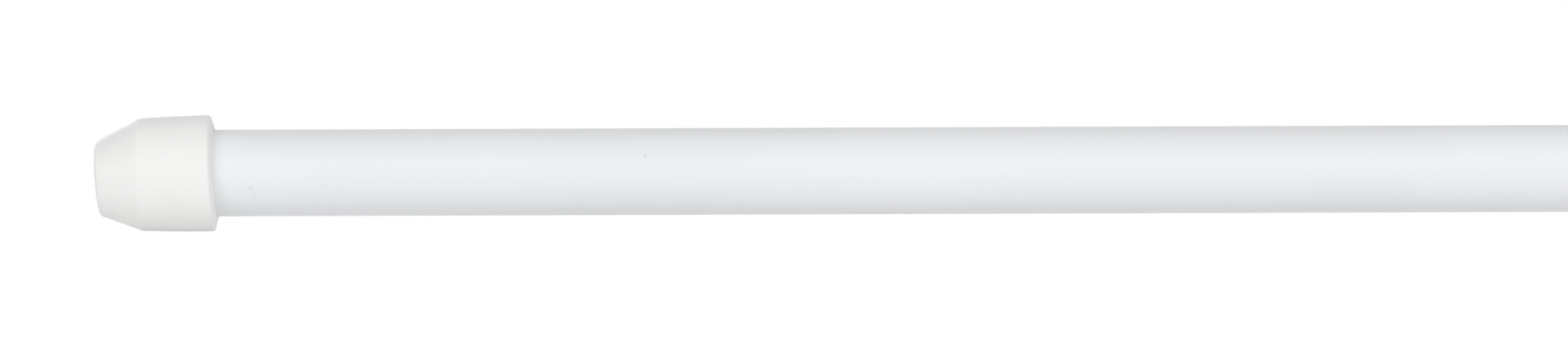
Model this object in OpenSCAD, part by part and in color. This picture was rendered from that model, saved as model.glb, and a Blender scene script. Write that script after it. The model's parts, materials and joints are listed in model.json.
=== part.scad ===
// Spring tension curtain rod: two telescoping tubes between two walls.
// A twist of one tube in the other locks the length, and a spring inside the
// inner tube then presses both soft tips against the walls.
// Millimetres. The origin is the centre of the left tip's wall face, +X runs
// along the rod, +Z is up.

/* [Outer tube] */
// Outside diameter of the outer tube (7/16 in)
outer_od = 11.1; // [11:0.1:13]
// Wall of the outer tube
outer_wall = 0.45; // [0.35:0.05:0.45]
// Length of the outer tube
outer_len = 435.5; // [400:0.5:560]
// Radial clearance between the rolled mouth and the inner tube
mouth_clear = 0.08; // [0.05:0.01:0.1]

/* [Inner tube] */
// Outside diameter of the inner tube (3/8 in)
inner_od = 9.5; // [9.2:0.1:9.6]
// Wall of the inner tube
inner_wall = 0.45; // [0.3:0.05:0.5]
// Length of the inner tube
inner_len = 423.5; // [400:0.5:440]
// Inner tube that shows between the mouth and the right tip
drawn_out = 86; // [60:1:200]

/* [Tips] */
// Overall length of a tip
tip_len = 15.5; // [14:0.1:20]
// Diameter at the wall face
tip_face_d = 9.4; // [8:0.1:11]
// Length of the bevel behind the wall face
tip_bevel_len = 5.7; // [4:0.1:7]
// Diameter at the shoulder, where the bevel ends
tip_shoulder_d = 14.4; // [14.1:0.1:14.8]
// Diameter at the open rim
tip_rim_d = 14.9; // [14.8:0.05:16]
// Rounding of the wall face's edge
tip_face_round = 0.6; // [0.3:0.1:1]
// Rounding of the shoulder
tip_shoulder_round = 0.8; // [0.3:0.1:1.5]
// How far the rim's outer edge lies in front of its inner edge
tip_rim_set = 0.5; // [0:0.05:0.6]
// Rounding of the rim's outer edge
tip_rim_round = 0.3; // [0.2:0.05:0.8]
// Rounding of the rim's inner edge
tip_lip_round = 0.25; // [0.1:0.05:0.4]
// Vinyl in front of the end disc
tip_wall = 4.6; // [4:0.1:5.5]
// Thickness of the steel disc that the tube's end bears on
disc_t = 0.8; // [0.5:0.1:1.2]
// Radial clearance of the discs and tubes in their tips
tip_clear = 0.02; // [0:0.01:0.05]

/* [Cam lock] */
// Length of the split ring
ring_len = 8; // [6:0.5:12]
// Radial clearance between the split ring and the outer tube
ring_clear = 0.05; // [0.02:0.01:0.1]
// Clearance at each end of the split ring
ring_side_clear = 0.15; // [0.1:0.05:0.3]
// Depth and width of the grip grooves round the split ring
ring_groove = 0.4; // [0.2:0.1:0.6]
// Number of grip grooves
ring_grooves = 3; // [1:1:4]
// Diameter of the eccentric journal that carries the split ring
journal_d = 6; // [5.6:0.1:6.4]
// Offset of the journal from the rod's axis
journal_offset = 0.3; // [0.2:0.05:0.5]
// Radial clearance between the journal and the split ring
journal_clear = 0.05; // [0.02:0.01:0.1]
// Turn from free to locked, in degrees
lock_turn = 90; // [60:5:120]
// Width of the driving lug in the ring's gap, in degrees
lug_turn = 24; // [18:1:30]
// Clearance on each side of the lug, in degrees
lug_clear = 3; // [2:1:6]
// Thickness of each core flange
flange_t = 2; // [1.5:0.1:3]
// Radial clearance between the core and the outer tube
core_clear = 0.3; // [0.2:0.05:0.4]
// Diameter of the core's hub
hub_d = 6.8; // [6:0.1:7.4]
// Length of the core's hub
hub_len = 7; // [5:0.5:10]
// Diameter of the slotted pin through hub and spindle
pin_d = 1.5; // [1:0.1:1.8]

/* [Spindle] */
// Diameter of the spindle
spindle_d = 3.2; // [3:0.1:3.4]
// Distance across the spindle's two flats
spindle_flats = 2.5; // [2.2:0.1:2.9]
// Clearance all round the spindle in the guide plug
key_clear = 0.05; // [0.03:0.01:0.1]
// Clearance all round the spindle in the core
core_key_clear = 0.02; // [0:0.01:0.05]
// Depth of core left in front of the spindle's end
core_cap = 1; // [0.6:0.1:1.6]
// Diameter of the neck that carries the plunger
neck_d = 2; // [1.6:0.1:2.1]
// Diameter of the push nut
nut_d = 4.6; // [4:0.1:4.8]
// Thickness of the push nut
nut_t = 0.6; // [0.4:0.1:1]

/* [Spring] */
// Wire diameter
wire_d = 1.2; // [1:0.1:1.3]
// Outside diameter of the coil
spring_od = 8; // [7.8:0.1:8.2]
// Length of the spring as fitted
spring_len = 84; // [70:1:100]
// Number of turns, end turns included
spring_turns = 30; // [20:1:36]
// Travel of the spring when the rod is pressed between its walls
spring_travel = 25.4; // [15:0.1:30]
// Clearance between each end of the coil and its seat
spring_clear = 0.05; // [0.02:0.01:0.1]

/* [Plugs] */
// Length of the guide plug inside the inner tube
guide_len = 12; // [10:0.5:16]
// Thickness of the guide plug's flange
guide_flange_t = 1.5; // [1:0.1:2.5]
// Space left between hub and guide plug when the spring is fully pressed
stroke_spare = 1.5; // [0.5:0.1:4]
// Length of the plunger
plunger_len = 5; // [4:0.5:8]
// Radial clearance between the plunger and the inner tube
plunger_clear = 0.1; // [0.05:0.01:0.2]
// Gap between the plunger and the guide plug at rest
seat_clear = 0.1; // [0.05:0.05:0.3]
// Length of the stop plug behind the spring
stop_len = 8; // [7:0.5:12]
// Length of the pilots that centre the spring
pilot_len = 2; // [1.5:0.1:4]
// Radial clearance between a pilot and the spring
pilot_clear = 0.3; // [0.2:0.05:0.5]
// Radial clearance of the plugs in the inner tube
plug_clear = 0.02; // [0:0.01:0.05]
// Radius of the punch that makes the holding dimples
dimple_r = 1.5; // [1.2:0.1:1.8]
// Depth of the dimples
dimple_depth = 0.6; // [0.3:0.1:0.8]
// Number of dimples round each plug
dimple_count = 3; // [2:1:4]

/* [Hidden] */
$fn = 96;

ENAMEL = "#eceef0";
VINYL = "#f4f4f2";
NYLON = "#e6e0cf";
ZINC_STEEL = "#b9bcc0";
SPRING_STEEL = "#8d9094";

outer_r = outer_od / 2;
outer_bore_r = outer_r - outer_wall;
inner_r = inner_od / 2;
inner_bore_r = inner_r - inner_wall;
mouth_r = inner_r + mouth_clear;

// Places along the rod
outer_x0 = tip_wall + disc_t;
mouth_x = outer_x0 + outer_len;
rim_x = mouth_x + drawn_out;
end_x = rim_x + tip_len;
inner_x1 = end_x - outer_x0;
inner_x0 = inner_x1 - inner_len;
guide_x = inner_x0 - guide_flange_t;
plunger_x = inner_x0 + guide_len + seat_clear;
spring_x = plunger_x + plunger_len;
stop_x = spring_x + spring_len;
hub_end_x = guide_x - spring_travel - stroke_spare;
journal_len = ring_len + 2 * ring_side_clear;
core_len = 2 * flange_t + journal_len + hub_len;
core_x = hub_end_x - core_len;
journal_x = core_x + flange_t;
ring_x = journal_x + ring_side_clear;
hub_x = hub_end_x - hub_len;
pin_x = hub_x + hub_len / 2;
spindle_x0 = core_x + core_cap;
nut_x = spring_x + pilot_len;
spindle_x1 = nut_x + 2 * nut_t;

coil_r = (spring_od - wire_d) / 2;
pilot_r = spring_od / 2 - wire_d - pilot_clear;
core_r = outer_bore_r - core_clear;
ring_r = outer_bore_r - ring_clear;
chamfer = 0.4;
overlap = 0.01;
arc_steps = 8;

// Lays a shape made along Z onto the rod's axis, starting at x
module along_rod(x) {
    translate([x, 0, 0]) rotate([0, 90, 0]) children();
}

// Spins a [radius, distance] outline round the rod's axis
module turned(x, points) {
    along_rod(x) rotate_extrude() polygon(points);
}

function unit(v) = v / norm(v);
function turned_by(v, a) = [v.x * cos(a) - v.y * sin(a), v.x * sin(a) + v.y * cos(a)];

// Points of the arc that rounds corner b, between a and c, to radius r
function round_corner(a, b, c, r) =
    let(
        u = unit(a - b),
        v = unit(c - b),
        half = acos(u * v) / 2,
        centre = b + unit(u + v) * r / sin(half),
        start = b + u * r / tan(half) - centre,
        sweep = (180 - 2 * half) * sign(cross(u, v))
    )
    [for (i = [0:arc_steps]) centre + turned_by(start, -sweep * i / arc_steps)];

// Outline of [radius, distance, rounding] corners, with each corner rounded
function rounded_outline(corners) =
    let(
        n = len(corners),
        p = [for (c = corners) [c[0], c[1]]]
    )
    [for (i = [0:n - 1])
        each corners[i][2] == 0
            ? [p[i]]
            : round_corner(p[(i + n - 1) % n], p[i], p[(i + 1) % n], corners[i][2])];

// Tube end cap of soft vinyl, wall face at 0 and open rim at tip_len
module tip(bore_r) {
    rotate_extrude() polygon(rounded_outline([
        [0, 0, 0],
        [tip_face_d / 2, 0, tip_face_round],
        [tip_shoulder_d / 2, tip_bevel_len, tip_shoulder_round],
        [tip_rim_d / 2, tip_len - tip_rim_set, tip_rim_round],
        [bore_r, tip_len, tip_lip_round],
        [bore_r, tip_wall, 0],
        [0, tip_wall, 0],
    ]));
}

// Section of the spindle, grown all round by clear
module key_section(clear) {
    intersection() {
        circle(d = spindle_d + 2 * clear);
        square([spindle_flats + 2 * clear, spindle_d + 4 * clear], center = true);
    }
}

// Wedge of some degrees about the rod's axis, centred on +Y and wider than the rod
module wedge(x, length, angle) {
    reach = outer_od;
    side = [reach * sin(angle / 2), reach * cos(angle / 2)];
    along_rod(x) linear_extrude(length)
        polygon([[0, 0], [-side.x, side.y], [0, reach], [side.x, side.y]]);
}

// Punch spheres round the inner tube, centred at x
module dimple_spheres(x, r) {
    for (i = [0:dimple_count - 1])
        rotate([i * 360 / dimple_count, 0, 0])
            translate([x, 0, inner_r + dimple_r - dimple_depth])
                sphere(r);
}

// Pockets in a plug that take the inside of the tube's dimples
module dimple_pockets(x) {
    dimple_spheres(x, dimple_r + inner_wall + plug_clear);
}

guide_dimple_x = inner_x0 + guide_len / 2;
stop_dimple_x = stop_x + stop_len / 2;

module outer_tube() {
    lip_r = outer_r - mouth_r;
    color(ENAMEL) along_rod(outer_x0) rotate_extrude() {
        translate([outer_bore_r, 0]) square([outer_wall, outer_len - lip_r]);
        // The mouth is rolled in through a quarter turn
        translate([mouth_r, outer_len - lip_r]) intersection() {
            difference() {
                circle(lip_r);
                circle(lip_r - outer_wall);
            }
            square(lip_r);
        }
    }
}

module outer_tip() {
    color(VINYL) along_rod(0) tip(outer_r + tip_clear);
}

module outer_end_disc() {
    color(ZINC_STEEL) along_rod(tip_wall) cylinder(r = outer_r, h = disc_t);
}

// Split nylon ring. Its bore is eccentric by the same offset as the journal
module cam_ring() {
    mid_r = ring_r + ring_groove;
    color(NYLON) difference() {
        along_rod(ring_x) cylinder(r = ring_r, h = ring_len);
        translate([0, 0, journal_offset]) along_rod(ring_x - overlap)
            cylinder(r = journal_d / 2 + journal_clear, h = ring_len + 2 * overlap);
        for (i = [1:ring_grooves])
            along_rod(ring_x + i * ring_len / (ring_grooves + 1) - ring_groove / 2)
                difference() {
                    cylinder(r = mid_r, h = ring_groove);
                    translate([0, 0, -overlap])
                        cylinder(r = ring_r - ring_groove, h = ring_groove + 2 * overlap);
                }
        // The lug turns through the gap, from its +Y end to its +Z end
        rotate([lock_turn / 2, 0, 0])
            wedge(ring_x - overlap, ring_len + 2 * overlap, lock_turn + lug_turn + 2 * lug_clear);
    }
}

// Nylon core: two flanges, the eccentric journal with its lug, and the hub
module cam_core() {
    color(NYLON) difference() {
        union() {
            turned(core_x, [
                [0, 0], [core_r - chamfer, 0], [core_r, chamfer], [core_r, flange_t], [0, flange_t],
            ]);
            translate([0, 0, journal_offset]) along_rod(journal_x - overlap)
                cylinder(d = journal_d, h = journal_len + 2 * overlap);
            intersection() {
                wedge(journal_x - overlap, journal_len + 2 * overlap, lug_turn);
                along_rod(journal_x - 2 * overlap)
                    cylinder(r = core_r - chamfer, h = journal_len + 4 * overlap);
            }
            turned(hub_x - flange_t, [
                [0, 0], [core_r, 0], [core_r, flange_t - chamfer], [core_r - chamfer, flange_t],
                [hub_d / 2, flange_t], [hub_d / 2, flange_t + hub_len - chamfer],
                [hub_d / 2 - chamfer, flange_t + hub_len], [0, flange_t + hub_len],
            ]);
        }
        along_rod(spindle_x0) linear_extrude(core_len) key_section(core_key_clear);
        translate([pin_x, 0, -hub_d]) cylinder(d = pin_d, h = 2 * hub_d);
    }
}

// Rolled spring pin, with its slot along +X
module cam_pin() {
    pin_len = hub_d - chamfer;
    color(ZINC_STEEL) translate([pin_x, 0, -pin_len / 2]) difference() {
        cylinder(d = pin_d, h = pin_len);
        translate([0, 0, -overlap]) cylinder(d = pin_d / 2, h = pin_len + 2 * overlap);
        translate([0, -pin_d / 10, -overlap]) cube([pin_d, pin_d / 5, pin_len + 2 * overlap]);
    }
}

// Steel bar with two flats, turned down to a neck for the plunger
module spindle() {
    color(ZINC_STEEL) difference() {
        union() {
            along_rod(spindle_x0) linear_extrude(plunger_x - spindle_x0) key_section(0);
            along_rod(plunger_x - overlap)
                cylinder(d = neck_d, h = spindle_x1 - plunger_x + overlap);
        }
        translate([pin_x, 0, -spindle_d]) cylinder(d = pin_d, h = 2 * spindle_d);
    }
}

// Nylon piston at the spindle's end, which the spring pushes
module plunger() {
    plunger_r = inner_bore_r - plunger_clear;
    color(NYLON) turned(plunger_x, [
        [neck_d / 2, 0], [plunger_r - chamfer, 0], [plunger_r, chamfer], [plunger_r, plunger_len],
        [pilot_r, plunger_len], [pilot_r, plunger_len + pilot_len],
        [neck_d / 2, plunger_len + pilot_len],
    ]);
}

// Push nut with four slots between its gripping teeth
module push_nut() {
    slot_w = nut_d / 12;
    slot_r = (neck_d + nut_d) / 4;
    color(ZINC_STEEL) difference() {
        along_rod(nut_x) cylinder(d = nut_d, h = nut_t);
        along_rod(nut_x - overlap) cylinder(d = neck_d, h = nut_t + 2 * overlap);
        for (a = [0:90:270])
            rotate([a, 0, 0]) translate([nut_x - overlap, -slot_w / 2, 0])
                cube([nut_t + 2 * overlap, slot_w, slot_r]);
    }
}

module inner_tube() {
    color(ENAMEL) difference() {
        union() {
            along_rod(inner_x0) difference() {
                cylinder(r = inner_r, h = inner_len);
                translate([0, 0, -overlap])
                    cylinder(r = inner_bore_r, h = inner_len + 2 * overlap);
            }
            // Inside of the punched dimples
            for (x = [guide_dimple_x, stop_dimple_x])
                intersection() {
                    dimple_spheres(x, dimple_r + inner_wall);
                    along_rod(x - 2 * dimple_r)
                        cylinder(r = inner_r - inner_wall / 2, h = 4 * dimple_r);
                }
        }
        for (x = [guide_dimple_x, stop_dimple_x]) dimple_spheres(x, dimple_r);
    }
}

module inner_tip() {
    color(VINYL) translate([end_x, 0, 0]) mirror([1, 0, 0]) along_rod(0) tip(inner_r + tip_clear);
}

module inner_end_disc() {
    color(ZINC_STEEL) along_rod(inner_x1) cylinder(r = inner_r, h = disc_t);
}

// Nylon plug in the inner tube's end. Its keyed hole turns the spindle
module guide_plug() {
    plug_r = inner_bore_r - plug_clear;
    full_len = guide_flange_t + guide_len;
    color(NYLON) difference() {
        turned(guide_x, [
            [0, 0], [inner_r - chamfer, 0], [inner_r, chamfer], [inner_r, guide_flange_t],
            [plug_r, guide_flange_t], [plug_r, full_len - chamfer],
            [plug_r - chamfer, full_len], [0, full_len],
        ]);
        along_rod(guide_x - overlap) linear_extrude(full_len + 2 * overlap) key_section(key_clear);
        dimple_pockets(guide_dimple_x);
    }
}

// Nylon plug that the far end of the spring rests on
module stop_plug() {
    plug_r = inner_bore_r - plug_clear;
    color(NYLON) difference() {
        turned(stop_x - pilot_len, [
            [0, 0], [pilot_r, 0], [pilot_r, pilot_len], [plug_r, pilot_len],
            [plug_r, pilot_len + stop_len - chamfer],
            [plug_r - chamfer, pilot_len + stop_len], [0, pilot_len + stop_len],
        ]);
        dimple_pockets(stop_dimple_x);
    }
}

// Distance of the wire's centre from the spring's left seat after some turns.
// The first and last turn lie closed, the turns between them share the rest
closed_pitch = 1.1 * wire_d;
spring_end = wire_d / 2 + spring_clear;
function wire_advance(turn) =
    let(
        open_turns = spring_turns - 2,
        open_pitch = (spring_len - 2 * (spring_end + closed_pitch)) / open_turns
    )
    turn < 1 ? spring_end + turn * closed_pitch
    : turn > spring_turns - 1 ? spring_len - spring_end - (spring_turns - turn) * closed_pitch
    : spring_end + closed_pitch + (turn - 1) * open_pitch;

// Wire of the spring, swept round its coil as one closed skin
module spring() {
    wire_sides = 6;
    steps_per_turn = 12;
    steps = spring_turns * steps_per_turn;
    points = [
        for (i = [0:steps])
            let(turn = i / steps_per_turn, a = 360 * turn)
            for (k = [0:wire_sides - 1])
                let(
                    b = 360 * k / wire_sides,
                    r = coil_r + wire_d / 2 * cos(b)
                )
                [spring_x + wire_advance(turn) + wire_d / 2 * sin(b), r * cos(a), r * sin(a)]
    ];
    skin = [
        for (i = [0:steps - 1])
            for (k = [0:wire_sides - 1])
                let(
                    p = i * wire_sides + k,
                    q = i * wire_sides + (k + 1) % wire_sides
                )
                each [[p, q, q + wire_sides], [p, q + wire_sides, p + wire_sides]]
    ];
    first_end = [for (k = [wire_sides - 1:-1:0]) k];
    last_end = [for (k = [0:wire_sides - 1]) steps * wire_sides + k];
    color(SPRING_STEEL) polyhedron(points, concat(skin, [first_end, last_end]));
}

outer_tube();
outer_tip();
outer_end_disc();
cam_ring();
cam_core();
cam_pin();
spindle();
plunger();
push_nut();
inner_tube();
inner_tip();
inner_end_disc();
guide_plug();
stop_plug();
spring();
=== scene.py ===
"""Looks of a spring tension curtain rod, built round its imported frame.

Metres. The rod lies along +X, with the middle of the outer tip's wall face at
the origin. +Y is away from the camera and +Z is up.
"""

import json
import math

import bmesh
import bpy
from mathutils import Matrix, Vector

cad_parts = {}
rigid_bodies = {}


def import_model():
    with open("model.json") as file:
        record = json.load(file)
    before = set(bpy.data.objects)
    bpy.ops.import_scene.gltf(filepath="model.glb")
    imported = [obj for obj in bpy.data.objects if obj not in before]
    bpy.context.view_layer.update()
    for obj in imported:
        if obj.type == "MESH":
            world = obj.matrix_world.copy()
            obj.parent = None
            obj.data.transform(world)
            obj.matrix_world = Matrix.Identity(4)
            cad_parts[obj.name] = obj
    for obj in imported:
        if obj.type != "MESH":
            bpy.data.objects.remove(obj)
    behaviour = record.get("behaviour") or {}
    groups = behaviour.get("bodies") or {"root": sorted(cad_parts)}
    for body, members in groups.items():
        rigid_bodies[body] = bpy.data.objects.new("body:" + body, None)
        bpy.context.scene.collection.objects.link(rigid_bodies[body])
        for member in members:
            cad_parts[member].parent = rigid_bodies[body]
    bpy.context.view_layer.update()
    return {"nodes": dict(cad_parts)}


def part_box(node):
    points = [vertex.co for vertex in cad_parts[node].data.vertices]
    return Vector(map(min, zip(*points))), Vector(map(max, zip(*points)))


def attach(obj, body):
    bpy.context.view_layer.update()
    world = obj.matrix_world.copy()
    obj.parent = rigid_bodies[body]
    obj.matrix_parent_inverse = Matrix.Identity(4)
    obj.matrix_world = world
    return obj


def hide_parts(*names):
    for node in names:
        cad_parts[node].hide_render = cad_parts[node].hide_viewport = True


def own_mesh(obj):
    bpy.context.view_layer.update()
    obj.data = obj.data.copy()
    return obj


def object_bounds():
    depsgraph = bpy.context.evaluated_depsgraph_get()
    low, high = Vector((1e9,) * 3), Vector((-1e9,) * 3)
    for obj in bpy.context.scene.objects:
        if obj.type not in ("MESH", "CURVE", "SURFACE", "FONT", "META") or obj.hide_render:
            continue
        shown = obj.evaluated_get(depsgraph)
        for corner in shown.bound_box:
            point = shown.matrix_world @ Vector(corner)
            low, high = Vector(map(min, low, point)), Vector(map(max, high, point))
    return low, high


MM = 0.001

# Vertices round the rod in every round piece
SIDES = 144
# Faces across a rounded edge
ROUND_STEPS = 6
# Vertices closer than this are one, and a vertex this near a place is at it
SAME_POINT = 0.001 * MM
AT_RING = 0.002 * MM

# Below these angles, in degrees, neighbouring faces are shaded as one
SMOOTH_TUBE, SMOOTH_TIP, SMOOTH_WIRE = 50, 60, 40

# Tubes
TUBE_WALL = 0.45 * MM
MOUTH_CLEARANCE = 0.08 * MM
TUBE_EDGE_ROUND = 0.1 * MM
PUNCH_RADIUS = 1.5 * MM
PUNCH_DEPTH = 0.6 * MM
PUNCHES_ROUND = 3
# Shares of the rolled mouth's height that its outer and inner edges are rounded by
MOUTH_ROUND, MOUTH_ROUND_INSIDE = 0.97, 0.9
# The tube has finer rings for this many punch radii to each side of a punch's middle
PUNCH_REACH, PUNCH_RINGS = 1.6, 14

# Soft tips
TIP_FACE_RADIUS = 4.7 * MM
TIP_FACE_DOME = 0.1 * MM
TIP_BEVEL_LENGTH = 5.7 * MM
TIP_SHOULDER_RADIUS = 7.2 * MM
TIP_WALL = 4.6 * MM
TIP_CLEARANCE = 0.02 * MM
TIP_FACE_EDGE = 0.45 * MM
TIP_SHOULDER_EDGE = 0.3 * MM
TIP_RIM_SET = 0.5 * MM
TIP_RIM_EDGE = 0.3 * MM
TIP_BODY_BULGE = 0.05 * MM
TIP_LIP_EDGE = 0.12 * MM
GATE_RADIUS = 0.8 * MM
GATE_DEPTH = 0.12 * MM
GATE_EDGE = 0.1 * MM
# Rings of vertices on the tip: the wall face in eighths of its radius from the gate mark
# outwards, then the bevel and the body
FACE_PARTS, FACE_FIRST = 8, 3
BEVEL_RINGS, BODY_RINGS = 6, 10

# How the outer tip sits on its tube: not quite home, the tilt of its sections and the
# droop of its middle line, as slopes, behind the shoulder and in front of it
NOT_HOME = 0.26 * MM
TILT_RIM, TILT_FACE = 0.040, 0.080
DROOP_BODY, DROOP_NOSE = 0.017, 0.093
DROOP_START, DROOP_FULL = 8.4 * MM, 10.4 * MM
TILT_START = 9.2 * MM
# The bore stays on the tube from this far in, and its wall is found within BORE_SLACK
BORE_HELD_FROM = 1 * MM
BORE_SLACK = 0.01 * MM

# Dust nibs under the outer tube's enamel: (x, height over the axis, radius, share of
# dark at the middle). The second and third run together in a short drag mark.
NIBS = [
    (71.0 * MM, 1.95 * MM, 0.36 * MM, 0.22),
    (20.45 * MM, -1.95 * MM, 0.42 * MM, 0.12),
    (20.85 * MM, -2.65 * MM, 0.5 * MM, 0.07),
    (29.4 * MM, -1.7 * MM, 0.28 * MM, 0.12),
    (97.2 * MM, 2.1 * MM, 0.32 * MM, 0.10),
]

# Spring
WIRE_DIAMETER = 1.2 * MM
SPRING_DIAMETER = 8.0 * MM
SPRING_TURNS = 30
# Pitch of the closed end turns, in wire diameters
CLOSED_PITCH = 1.1
SPRING_SEAT_CLEARANCE = 0.05 * MM
POINTS_PER_TURN = 36
WIRE_ROUNDNESS = 4


# ---------------------------------------------------------------- materials

# Where a two-tone pattern starts and ends its change from one colour to the other
TONE_STOPS = (0.35, 0.65)
# A noise pattern's usual least and most
NOISE_LOW, NOISE_HIGH = 0.3, 0.7
# The most of the two patterns together that dull a rubbed tube
RUBBED_HIGH = 1.5


def linear(colour):
    """The linear colour of an sRGB hex value."""
    parts = [int(colour[i : i + 2], 16) / 255 for i in (1, 3, 5)]
    return [p / 12.92 if p <= 0.04045 else ((p + 0.055) / 1.055) ** 2.4 for p in parts] + [1.0]


def add(tree, kind, inputs=None, **settings):
    """Adds a node with its settings. An input takes a value, or a link from an output."""
    node = tree.nodes.new("ShaderNode" + kind)
    for name, value in settings.items():
        setattr(node, name, value)
    for name, value in (inputs or {}).items():
        if isinstance(value, bpy.types.NodeSocket):
            tree.links.new(value, node.inputs[name])
        else:
            node.inputs[name].default_value = value
    return node


def start_material(name, **inputs):
    """A new material, its tree, its Principled shader with some inputs set, and Object
    coordinates."""
    material = bpy.data.materials.new(name)
    material.use_nodes = True
    tree = material.node_tree
    shader = tree.nodes["Principled BSDF"]
    for key, value in inputs.items():
        shader.inputs[key.replace("_", " ")].default_value = value
    place = add(tree, "TexCoord").outputs["Object"]
    return material, tree, shader, place


def size(mm):
    """The scale of a pattern whose marks are that many millimetres apart."""
    return 1 / (mm * MM)


def two_tones(tree, factor, first, second):
    """A colour that runs between two hex colours as factor goes between TONE_STOPS."""
    ramp = add(tree, "ValToRGB", {"Fac": factor})
    for stop, at, colour in zip(ramp.color_ramp.elements, TONE_STOPS, (first, second)):
        stop.position = at
        stop.color = linear(colour)
    return ramp.outputs["Color"]


def roughen(tree, shader, pattern, least, most, high=NOISE_HIGH):
    """Lets the shader's roughness go from least to most with a pattern."""
    rough = add(
        tree, "MapRange", {"Value": pattern, 1: NOISE_LOW, 2: high, 3: least, 4: most}
    )
    tree.links.new(rough.outputs["Result"], shader.inputs["Roughness"])


def emboss(tree, shader, pattern, height, strength):
    """Raises a pattern from the shader's surface by up to that height."""
    bump = add(tree, "Bump", {"Height": pattern, "Distance": height, "Strength": strength})
    tree.links.new(bump.outputs["Normal"], shader.inputs["Normal"])


def noise(tree, place, scale, detail, **more):
    """The grey of a noise pattern."""
    inputs = {"Vector": place, "Scale": scale, "Detail": detail, **more}
    return add(tree, "TexNoise", inputs).outputs["Fac"]


def make_enamel(name, rubbed, nibs=()):
    """Baked white enamel on steel tube: a cool, even white with a satin shine and a
    faint orange peel. nibs are (place, radius, share of dark) of dust specks under the
    coat. A rubbed tube has dull lines along it, where the mouth of the other tube slides."""
    material, tree, shader, place = start_material(name, IOR=1.5, Specular_IOR_Level=0.3)
    colour = two_tones(tree, noise(tree, place, size(45), 2.0), "#EFF0F2", "#ECEEF0")
    for centre, radius, share in nibs:
        away = add(tree, "VectorMath", {0: place, 1: centre}, operation="DISTANCE")
        spot = add(
            tree,
            "MapRange",
            {"Value": away.outputs["Value"], 1: 0.0, 2: radius, 3: share, 4: 0.0},
            interpolation_type="SMOOTHSTEP",
        )
        mixed = add(
            tree,
            "Mix",
            {0: spot.outputs["Result"], 6: colour, 7: linear("#8A8B88")},
            data_type="RGBA",
        )
        colour = mixed.outputs[2]
    tree.links.new(colour, shader.inputs["Base Color"])

    fine = noise(tree, place, size(9), 3.0)
    high = NOISE_HIGH
    if rubbed:
        stretch = {"Vector": place, "Scale": (size(120), size(0.7), size(0.7))}
        along = add(tree, "Mapping", stretch).outputs["Vector"]
        lines = noise(tree, along, 1.0, 2.0)
        fine = add(tree, "Math", {0: fine, 1: lines}, operation="ADD").outputs["Value"]
        high = RUBBED_HIGH
    roughen(tree, shader, fine, 0.42, 0.5, high)
    emboss(tree, shader, noise(tree, place, size(2.2), 2.0), 0.006 * MM, 0.6)
    return material


def make_vinyl():
    """Injection-moulded soft PVC: a slightly warm, milky white that light enters, with a
    matte skin from the mould's fine spark-eroded grain."""
    material, tree, shader, place = start_material(
        "moulded_white_vinyl",
        IOR=1.53,
        Specular_IOR_Level=0.35,
        Subsurface_Weight=0.25,
        Subsurface_Radius=(1.0, 0.97, 0.92),
        Subsurface_Scale=0.8 * MM,
    )
    colour = two_tones(tree, noise(tree, place, size(5), 2.0), "#F4F4F3", "#F3F3F1")
    tree.links.new(colour, shader.inputs["Base Color"])
    grain = noise(tree, place, size(0.3), 3.0)
    roughen(tree, shader, grain, 0.5, 0.62)
    emboss(tree, shader, grain, 0.01 * MM, 0.5)
    return material


def make_nylon():
    """Moulded natural nylon 66: milky ivory, a little light inside it, a soft shine, and
    faint flow clouds from the mould."""
    material, tree, shader, place = start_material(
        "moulded_natural_nylon",
        IOR=1.53,
        Subsurface_Weight=0.2,
        Subsurface_Radius=(1.0, 0.85, 0.6),
        Subsurface_Scale=0.6 * MM,
    )
    flow = noise(tree, place, size(3), 3.0, Distortion=1.2)
    tree.links.new(two_tones(tree, flow, "#EBE6D7", "#E2DCCA"), shader.inputs["Base Color"])
    roughen(tree, shader, flow, 0.36, 0.5)
    emboss(tree, shader, noise(tree, place, size(0.25), 2.0), 0.006 * MM, 0.4)
    return material


def make_zinc(name, grain):
    """Bright zinc plating on steel: a light metal, clouded a little blue and grey by its
    passivation. grain is the size in mm of the steel's marks along X, Y and Z."""
    material, tree, shader, place = start_material(name, Metallic=1.0)
    colour = two_tones(tree, noise(tree, place, size(1.6), 3.0), "#C3C9CF", "#D2D1CC")
    tree.links.new(colour, shader.inputs["Base Color"])
    along = add(tree, "Mapping", {"Vector": place, "Scale": [size(mm) for mm in grain]})
    marks = noise(tree, along.outputs["Vector"], 1.0, 3.0)
    roughen(tree, shader, marks, 0.26, 0.42)
    emboss(tree, shader, marks, 0.01 * MM, 0.4)
    return material


def make_spring_wire(wire_length):
    """Hard-drawn spring wire, left oiled: a mid grey metal with fine die lines along the
    wire. The lines follow the wire through its UV map, whose V runs along it."""
    material, tree, shader, _ = start_material("drawn_spring_wire", Metallic=1.0)
    uv = add(tree, "TexCoord").outputs["UV"]
    around = math.pi * WIRE_DIAMETER
    stretch = (around * size(0.15), wire_length * size(25), 1.0)
    along = add(tree, "Mapping", {"Vector": uv, "Scale": stretch})
    lines = noise(tree, along.outputs["Vector"], 1.0, 3.0)
    tree.links.new(two_tones(tree, lines, "#84888C", "#A0A3A6"), shader.inputs["Base Color"])
    roughen(tree, shader, lines, 0.28, 0.45)
    emboss(tree, shader, lines, 0.01 * MM, 0.5)
    return material


# ----------------------------------------------------------------- modelling


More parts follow.
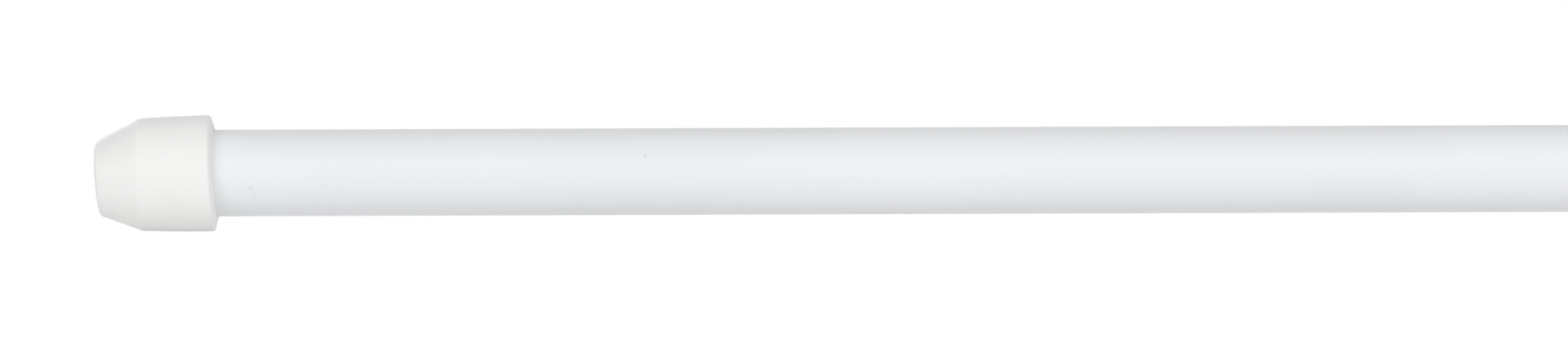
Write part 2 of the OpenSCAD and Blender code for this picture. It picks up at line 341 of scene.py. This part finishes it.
def draw_round(name, rings):
    """Draws a round shell along the rod's axis, as a circle extruded and scaled from ring
    to ring. A ring is (x, radius). A radius of 0 closes that end in a point. Where the
    last ring is the first again, the shell closes on itself."""
    bpy.ops.object.select_all(action="DESELECT")
    closed = rings[0] == rings[-1]
    pointed = rings[0][1] == 0
    x, radius = rings[1] if pointed else rings[0]
    bpy.ops.mesh.primitive_circle_add(
        vertices=SIDES, radius=radius, location=(x, 0, 0), rotation=(0, math.pi / 2, 0)
    )
    piece = bpy.context.active_object
    piece.name = piece.data.name = name
    bpy.ops.object.transform_apply()
    bpy.ops.object.mode_set(mode="EDIT")
    bpy.ops.mesh.select_all(action="SELECT")
    if pointed:
        bpy.ops.mesh.edge_face_add()
        bpy.ops.mesh.poke()
        move_point(piece, Vector((x, 0, 0)), rings[0][0])
        select_ring(piece, x, radius)
        rings = rings[1:]
    for next_x, next_radius in rings[1:]:
        if next_radius == 0:
            bpy.ops.mesh.edge_face_add()
            bpy.ops.mesh.poke()
            move_point(piece, Vector((x, 0, 0)), next_x)
            break
        bpy.ops.mesh.extrude_edges_move(TRANSFORM_OT_translate={"value": (next_x - x, 0, 0)})
        scale = next_radius / radius
        bpy.ops.transform.resize(value=(1, scale, scale), center_override=(next_x, 0, 0))
        x, radius = next_x, next_radius
    if closed:
        bpy.ops.mesh.select_all(action="SELECT")
        bpy.ops.mesh.remove_doubles(threshold=SAME_POINT)
    bpy.ops.mesh.select_all(action="SELECT")
    bpy.ops.mesh.normals_make_consistent(inside=False)
    bpy.ops.object.mode_set(mode="OBJECT")
    return piece


def move_point(piece, centre, x):
    """Moves the vertex in the middle of a poked face along the rod's axis to x."""
    mesh = bmesh.from_edit_mesh(piece.data)
    for vertex in mesh.verts:
        if (vertex.co - centre).length < SAME_POINT:
            vertex.co.x = x
    bmesh.update_edit_mesh(piece.data)


def select_ring(piece, x, radius):
    """Selects, in edit mode, the ring of edges at x and radius and nothing else."""
    bpy.ops.mesh.select_mode(type="EDGE")
    bpy.ops.mesh.select_all(action="DESELECT")
    mesh = bmesh.from_edit_mesh(piece.data)
    for edge in mesh.edges:
        edge.select = all(
            abs(v.co.x - x) < AT_RING and abs(math.hypot(v.co.y, v.co.z) - radius) < AT_RING
            for v in edge.verts
        )
    bmesh.update_edit_mesh(piece.data)


def pick(piece):
    """Selects a piece and nothing else."""
    bpy.ops.object.select_all(action="DESELECT")
    bpy.context.view_layer.objects.active = piece
    piece.select_set(True)


def round_ring(piece, x, radius, width):
    """Rounds the edge of a round piece at x and radius, width to each side."""
    pick(piece)
    bpy.ops.object.mode_set(mode="EDIT")
    select_ring(piece, x, radius)
    bpy.ops.mesh.bevel(offset=width, segments=ROUND_STEPS, affect="EDGES")
    bpy.ops.object.mode_set(mode="OBJECT")


def spread(start, end, steps):
    """The rings after start, up to end, in equal steps."""
    return [
        tuple(a + (b - a) * i / steps for a, b in zip(start, end)) for i in range(1, steps + 1)
    ]


def finish_piece(piece, material, smooth_below):
    """Shades a piece smooth where its faces meet below that many degrees, and gives it its
    material and slot."""
    pick(piece)
    bpy.ops.object.shade_smooth_by_angle(angle=math.radians(smooth_below))
    piece.data.materials.clear()
    piece.data.materials.append(material)
    return piece


def radius_of(node):
    """The outer radius of a round CAD node."""
    low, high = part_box(node)
    return (high.z - low.z) / 2


def make_outer_tube(material):
    """Steel tube whose right mouth is rolled in round the inner tube."""
    low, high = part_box("outer_tube")
    radius = radius_of("outer_tube")
    bore = radius - TUBE_WALL
    mouth = radius_of("inner_tube") + MOUTH_CLEARANCE
    roll = radius - mouth
    tube = draw_round(
        "outer_tube_skin",
        [
            (low.x, bore),
            (low.x, radius),
            (high.x, radius),
            (high.x, mouth),
            (high.x - TUBE_WALL, mouth),
            (high.x - TUBE_WALL, bore),
            (low.x, bore),
        ],
    )
    round_ring(tube, high.x, radius, roll * MOUTH_ROUND)
    round_ring(tube, high.x - TUBE_WALL, bore, (bore - mouth) * MOUTH_ROUND_INSIDE)
    round_ring(tube, low.x, radius, TUBE_EDGE_ROUND)
    finish_piece(tube, material, SMOOTH_TUBE)
    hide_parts("outer_tube")
    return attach(tube, "outer")


def make_inner_tube(material):
    """Steel tube with two rings of dimples, punched in over its plugs."""
    low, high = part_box("inner_tube")
    radius = radius_of("inner_tube")
    bore = radius - TUBE_WALL
    guide_end, stop_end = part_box("guide_plug")[1].x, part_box("stop_plug")[1].x
    rings_x = [(low.x + guide_end) / 2, (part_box("spring")[1].x + stop_end) / 2]
    reach = PUNCH_REACH * PUNCH_RADIUS
    along = [low.x]
    for x in rings_x:
        along += [x - reach + 2 * reach * i / PUNCH_RINGS for i in range(PUNCH_RINGS + 1)]
    along.append(high.x)
    outside = [(x, radius) for x in along]
    inside = [(x, bore) for x in reversed(along)]
    tube = draw_round("inner_tube_skin", [(low.x, bore), *outside, *inside])
    for x in rings_x:
        for i in range(PUNCHES_ROUND):
            angle = 2 * math.pi * i / PUNCHES_ROUND
            out = Vector((0, -math.sin(angle), math.cos(angle)))
            centre = Vector((x, 0, 0)) + out * (radius + PUNCH_RADIUS - PUNCH_DEPTH)
            punch(tube, centre, out, (radius + bore) / 2)
    for x in (low.x, high.x):
        round_ring(tube, x, radius, TUBE_EDGE_ROUND)
    finish_piece(tube, material, SMOOTH_TUBE)
    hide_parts("inner_tube")
    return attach(tube, "inner")


def punch(tube, centre, out, middle_radius):
    """Presses a round-nosed punch into the tube wall. The bore side follows a wall behind."""
    for vertex in tube.data.vertices:
        offset = vertex.co - centre
        nose = PUNCH_RADIUS
        if math.hypot(vertex.co.y, vertex.co.z) < middle_radius:
            nose += TUBE_WALL
        height = offset.dot(out)
        sideways = (offset - height * out).length
        if sideways < nose and height < 0:
            depth = math.sqrt(nose**2 - sideways**2)
            if -height < depth:
                vertex.co = centre + (offset - height * out) - depth * out


def make_tip(name, node, tube_node, body, face_at_low_x, material):
    """Soft tapered tip: a slightly domed wall face with a small gate mark, a bevel, a
    body that widens a little to its rim, and a blind bore for the tube."""
    low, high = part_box(node)
    face_x, way = (low.x, 1) if face_at_low_x else (high.x, -1)
    length, rim_radius = high.x - low.x, radius_of(node)
    bore = radius_of(tube_node) + TIP_CLEARANCE

    def at(distance, radius):
        return (face_x + way * distance, radius)

    def dome(radius):
        return at(TIP_FACE_DOME * (radius / TIP_FACE_RADIUS) ** 2, radius)

    face_parts = range(FACE_FIRST, FACE_PARTS + 1)
    face_rings = [dome(TIP_FACE_RADIUS * i / FACE_PARTS) for i in face_parts]
    shoulder = at(TIP_BEVEL_LENGTH, TIP_SHOULDER_RADIUS)
    rim = at(length - TIP_RIM_SET, rim_radius)
    lip = at(length, bore)
    rings = [
        at(GATE_DEPTH, 0),
        at(GATE_DEPTH, GATE_RADIUS - GATE_EDGE),
        dome(GATE_RADIUS),
        *face_rings,
    ]
    rings += spread(rings[-1], shoulder, BEVEL_RINGS)
    for i, (x, radius) in enumerate(spread(rings[-1], rim, BODY_RINGS), 1):
        rings.append((x, radius + TIP_BODY_BULGE * math.sin(math.pi * i / BODY_RINGS)))
    rings += [lip, at(TIP_WALL, bore), at(TIP_WALL, 0)]
    tip = draw_round(name, rings)
    round_ring(tip, *dome(TIP_FACE_RADIUS), TIP_FACE_EDGE)
    round_ring(tip, *shoulder, TIP_SHOULDER_EDGE)
    round_ring(tip, *rim, TIP_RIM_EDGE)
    round_ring(tip, *lip, TIP_LIP_EDGE)
    finish_piece(tip, material, SMOOTH_TIP)
    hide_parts(node)
    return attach(tip, body)


def lean(tip, rim_x, bore_radius):
    """Lets a soft tip sit crooked: its sections tilt, top forward, and its nose droops.
    The bore stays on the tube."""
    for vertex in tip.data.vertices:
        x, y, z = vertex.co
        behind = rim_x - x
        before_wall = behind < rim_x - TIP_WALL + BORE_SLACK
        in_bore = before_wall and math.hypot(y, z) < bore_radius + BORE_SLACK
        share = min(max((behind - TILT_START) / (rim_x - TILT_START), 0), 1)
        share = share * share * (3 - 2 * share)
        tilt = TILT_RIM + (TILT_FACE - TILT_RIM) * share
        if in_bore and behind > BORE_HELD_FROM:
            continue
        vertex.co.x = x - tilt * z + NOT_HOME
        if not in_bore:
            vertex.co.z = z - droop(behind)


def droop(behind):
    """How far the tip's middle line lies below the rod's axis, that far from its rim."""
    bend = DROOP_FULL - DROOP_START
    past = min(max(behind - DROOP_START, 0), bend)
    steep = past**2 / (2 * bend) + max(behind - DROOP_FULL, 0)
    return DROOP_BODY * behind + (DROOP_NOSE - DROOP_BODY) * steep


def make_spring(material):
    """Compression spring of round wire. Its two end turns lie closed."""
    low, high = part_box("spring")
    seat = low.x - SPRING_SEAT_CLEARANCE
    closed_pitch = CLOSED_PITCH * WIRE_DIAMETER
    end = WIRE_DIAMETER / 2 + SPRING_SEAT_CLEARANCE
    length = high.x - low.x + 2 * SPRING_SEAT_CLEARANCE
    open_pitch = (length - 2 * (end + closed_pitch)) / (SPRING_TURNS - 2)
    coil = (SPRING_DIAMETER - WIRE_DIAMETER) / 2
    wire = bpy.data.curves.new("spring_coil", "CURVE")
    wire.dimensions = "3D"
    wire.bevel_depth = WIRE_DIAMETER / 2
    wire.bevel_resolution = WIRE_ROUNDNESS
    wire.use_fill_caps = True
    line = wire.splines.new("POLY")
    steps = SPRING_TURNS * POINTS_PER_TURN
    line.points.add(steps)
    for i, point in enumerate(line.points):
        turn = i / POINTS_PER_TURN
        opened = min(max(turn - 1, 0), SPRING_TURNS - 2)
        x = seat + end + closed_pitch * (turn - opened) + open_pitch * opened
        angle = 2 * math.pi * turn
        point.co = (x, coil * math.cos(angle), coil * math.sin(angle), 1)
    spring = bpy.data.objects.new("spring_coil", wire)
    bpy.context.scene.collection.objects.link(spring)
    pick(spring)
    bpy.ops.object.convert(target="MESH")
    spring = bpy.context.active_object
    finish_piece(spring, material, SMOOTH_WIRE)
    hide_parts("spring")
    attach(spring, "inner")
    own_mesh(spring)


# ------------------------------------------------------------------- studio

# The view: a long lens, level with the floor that the rod lies on, from a little to
# the right, and rolled a little
LENS = 350.0
SENSOR = 36.0
VIEW_WIDTH = 200.8 * MM
VIEW_CENTRE_X = 88.52 * MM
VIEW_CENTRE_Z = -0.94 * MM
VIEW_ROUND = math.radians(2.2)
VIEW_ROLL = math.radians(-0.19)
EYE_ABOVE_FLOOR = 0.01 * MM
# What lies further than this in front of the rod isn't seen, so the floor doesn't cross
# the view. Both in metres
SEEN_IN_FRONT = 0.1
SEEN_TO = 100

FLOOR_SIZE = 60.0
FLOOR_GLOW = 0.446
# How far the floor is lifted to white close to the rod, where the softboxes light it
# too, and far off, with the distances in metres
FLOOR_LIFT, FLOOR_LIFT_FAR = 0.78, 0.88
LIT_NEAR, LIT_FAR = 0.8, 4.0
AMBIENT = 0.427
# Square softboxes: degrees round to the right of the camera, degrees up, side in
# metres, and level, where 1 lights a plain white to white
SOFTBOX_DISTANCE = 2.6
SOFTBOXES = {
    "left_softbox": (-40, 14, 1.2, 0.203),
    "right_softbox": (20, 22, 1.8, 0.396),
    "back_softbox": (-150, 11, 1.0, 0.3),
}


def make_camera(floor_z):
    """The camera, at the height of the floor, looking along VIEW_ROUND."""
    distance = VIEW_WIDTH * LENS / SENSOR
    data = bpy.data.cameras.new("camera")
    data.lens = LENS
    data.sensor_width = SENSOR
    data.clip_start = distance - SEEN_IN_FRONT
    data.clip_end = SEEN_TO
    camera = bpy.data.objects.new("camera", data)
    bpy.context.scene.collection.objects.link(camera)
    way = Matrix.Rotation(VIEW_ROUND, 4, "Z")
    eye = Vector((VIEW_CENTRE_X, 0, floor_z + EYE_ABOVE_FLOOR)) + way @ Vector((0, -distance, 0))
    pitch = math.atan((VIEW_CENTRE_Z - eye.z) / distance)
    tilt = Matrix.Rotation(math.pi / 2 + pitch, 4, "X") @ Matrix.Rotation(VIEW_ROLL, 4, "Z")
    camera.matrix_world = Matrix.Translation(eye) @ way @ tilt
    bpy.context.scene.camera = camera


def make_floor(floor_z, middle_x):
    """A plain pale floor that keeps the rod's shadow. Seen directly it is lifted to white."""
    bpy.ops.object.select_all(action="DESELECT")
    bpy.ops.mesh.primitive_plane_add(size=FLOOR_SIZE, location=(middle_x, 0, floor_z))
    floor = bpy.context.active_object
    floor.name = "floor"
    material = bpy.data.materials.new("pale_floor")
    material.use_nodes = True
    tree = material.node_tree
    tree.nodes.clear()
    seen = seen_or_mirrored(tree)
    plain = add(tree, "BsdfDiffuse", {"Color": linear("#A0A09F")})
    place = add(tree, "TexCoord").outputs["Object"]
    away = add(tree, "VectorMath", {0: place}, operation="LENGTH")
    white = add(
        tree,
        "MapRange",
        {"Value": away.outputs["Value"], 1: LIT_NEAR, 2: LIT_FAR, 3: FLOOR_LIFT, 4: FLOOR_LIFT_FAR},
    )
    lift = add(tree, "MapRange", {"Value": seen, 3: FLOOR_GLOW, 4: white.outputs["Result"]})
    glow = add(tree, "Emission", {"Strength": lift.outputs["Result"]})
    both = add(tree, "AddShader", {0: plain.outputs["BSDF"], 1: glow.outputs["Emission"]})
    add(tree, "OutputMaterial", {"Surface": both.outputs["Shader"]})
    floor.data.materials.append(material)


def seen_or_mirrored(tree):
    """1 for rays from the camera, off a gloss or through something clear, and 0 for others."""
    path = add(tree, "LightPath")
    first = add(
        tree,
        "Math",
        {0: path.outputs["Is Camera Ray"], 1: path.outputs["Is Glossy Ray"]},
        operation="MAXIMUM",
    )
    both = add(
        tree,
        "Math",
        {0: first.outputs["Value"], 1: path.outputs["Is Transmission Ray"]},
        operation="MAXIMUM",
    )
    return both.outputs["Value"]


def make_world():
    """White wherever the camera or a gloss sees it, and a dimmer light from all round."""
    world = bpy.data.worlds.new("studio")
    bpy.context.scene.world = world
    world.use_nodes = True
    tree = world.node_tree
    tree.nodes.clear()
    strength = add(tree, "MapRange", {"Value": seen_or_mirrored(tree), 3: AMBIENT, 4: 1.0})
    light = add(
        tree, "Background", {"Color": linear("#FFFFFF"), "Strength": strength.outputs["Result"]}
    )
    add(tree, "OutputWorld", {"Surface": light.outputs["Background"]})


def add_softbox(name, target, round_right, up, side, level):
    """A square softbox that faces target, placed by its degrees round and up."""
    about = Matrix.Rotation(math.radians(round_right), 3, "Z")
    offset = about @ Matrix.Rotation(math.radians(-up), 3, "X") @ Vector((0, -SOFTBOX_DISTANCE, 0))
    data = bpy.data.lights.new(name, "AREA")
    data.shape = "SQUARE"
    data.size = side
    data.energy = level * math.pi**2 * SOFTBOX_DISTANCE**2
    lamp = bpy.data.objects.new(name, data)
    facing = offset.to_track_quat("Z", "Y").to_matrix().to_4x4()
    lamp.matrix_world = Matrix.Translation(target + offset) @ facing
    lamp.visible_camera = False
    bpy.context.scene.collection.objects.link(lamp)


# --------------------------------------------------------------------- build

for leftover in list(bpy.data.objects):
    bpy.data.objects.remove(leftover)

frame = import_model()

tube_radius = radius_of("outer_tube")
nibs = [
    ((x, -math.sqrt(tube_radius**2 - height**2), height), radius, share)
    for x, height, radius, share in NIBS
]

outer_enamel = make_enamel("baked_white_enamel", rubbed=False, nibs=nibs)
inner_enamel = make_enamel("baked_white_enamel_rubbed", rubbed=True)
vinyl = make_vinyl()
nylon = make_nylon()
drawn_zinc = make_zinc("zinc_plated_drawn_bar", (12, 0.2, 0.2))
rolled_zinc = make_zinc("zinc_plated_rolled_sheet", (0.3, 4, 0.3))
spring_wire = make_spring_wire(SPRING_TURNS * math.pi * (SPRING_DIAMETER - WIRE_DIAMETER))

make_outer_tube(outer_enamel)
make_inner_tube(inner_enamel)
outer_tip = make_tip("outer_tip_skin", "outer_tip", "outer_tube", "outer", True, vinyl)
lean(outer_tip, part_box("outer_tip")[1].x, tube_radius + TIP_CLEARANCE)
make_tip("inner_tip_skin", "inner_tip", "inner_tube", "inner", False, vinyl)
make_spring(spring_wire)

CARRIED_OVER = {
    "cam_ring": nylon,
    "cam_core": nylon,
    "guide_plug": nylon,
    "plunger": nylon,
    "stop_plug": nylon,
    "spindle": drawn_zinc,
    "cam_pin": rolled_zinc,
    "push_nut": rolled_zinc,
    "outer_end_disc": rolled_zinc,
    "inner_end_disc": rolled_zinc,
}
for node, material in CARRIED_OVER.items():
    mesh = frame["nodes"][node].data
    mesh.materials.clear()
    mesh.materials.append(material)

low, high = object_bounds()
middle = (low + high) / 2
make_camera(low.z)
make_floor(low.z, middle.x)
make_world()
for name, place in SOFTBOXES.items():
    add_softbox(name, middle, *place)
bpy.context.scene.view_settings.view_transform = "Standard"
